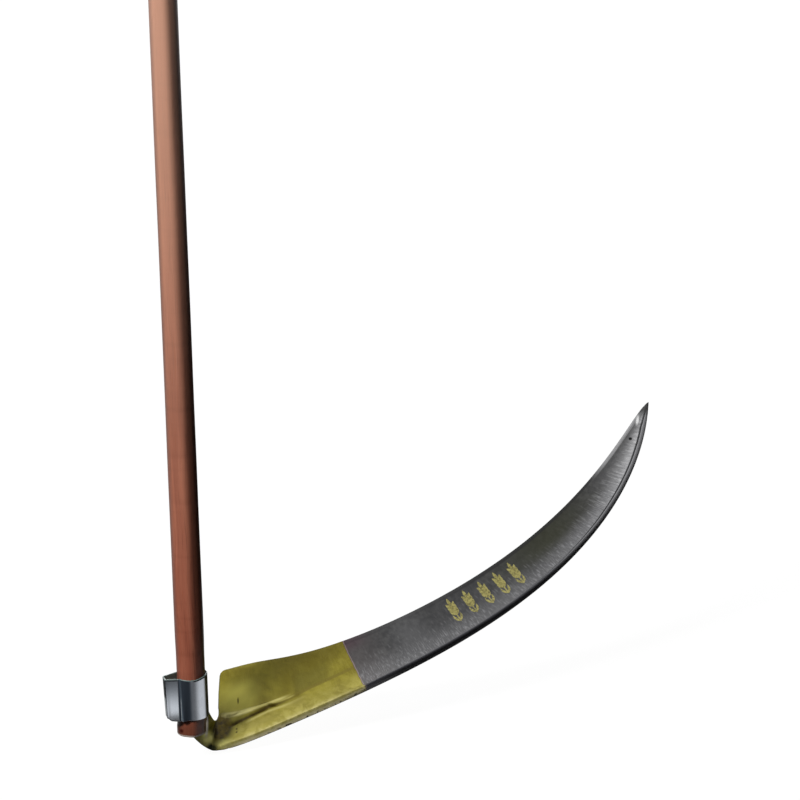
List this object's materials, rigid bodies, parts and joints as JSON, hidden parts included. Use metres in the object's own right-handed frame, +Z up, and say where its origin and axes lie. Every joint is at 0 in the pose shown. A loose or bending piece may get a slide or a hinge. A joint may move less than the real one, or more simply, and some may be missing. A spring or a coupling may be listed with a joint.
{
  "type": "scythe",
  "caption": "Scythe: straight round wooden pole with a forged curved blade, its tang held on the pole's foot by a sheet ring and wedge.",
  "frame": {"origin": "on the pole's axis at the hand's place, 0.9 m above the foot of the pole", "axes": "+Z up the pole, +X towards the blade, +Y towards the back of the pole, where the tang lies"},
  "size_m": [0.5941, 0.3893, 1.5288],
  "materials": {
    "stained_wood": "red-brown stain under a semi-gloss varnish",
    "galvanised_sheet": "galvanised sheet, smooth and semi-bright",
    "plain_wood": "bare hardwood, sawn",
    "blade_steel": "hammered dark steel under clear lacquer, heel and tang brushed with olive-gold paint"
  },
  "bodies": {
    "pole": {"pole": "stained_wood"},
    "ring": {"ring": "galvanised_sheet"},
    "wedge": {"wedge": "plain_wood"},
    "blade": {"blade": "blade_steel"}
  },
  "joints": [
    {"name": "ring_slide", "type": "slide", "parent": "pole", "child": "ring", "axis": [0, 0, 1], "range_m": [0, 0.09]},
    {"name": "wedge_slide", "type": "slide", "parent": "ring", "child": "wedge", "axis": [0, 0, 1], "range_m": [0, 0.055]},
    {"name": "blade_set", "type": "hinge", "parent": "pole", "child": "blade", "pos_m": [0, 0.0151, -0.816], "axis": [0, 1, 0], "range_deg": [-2.5, 2.5]}
  ]
}
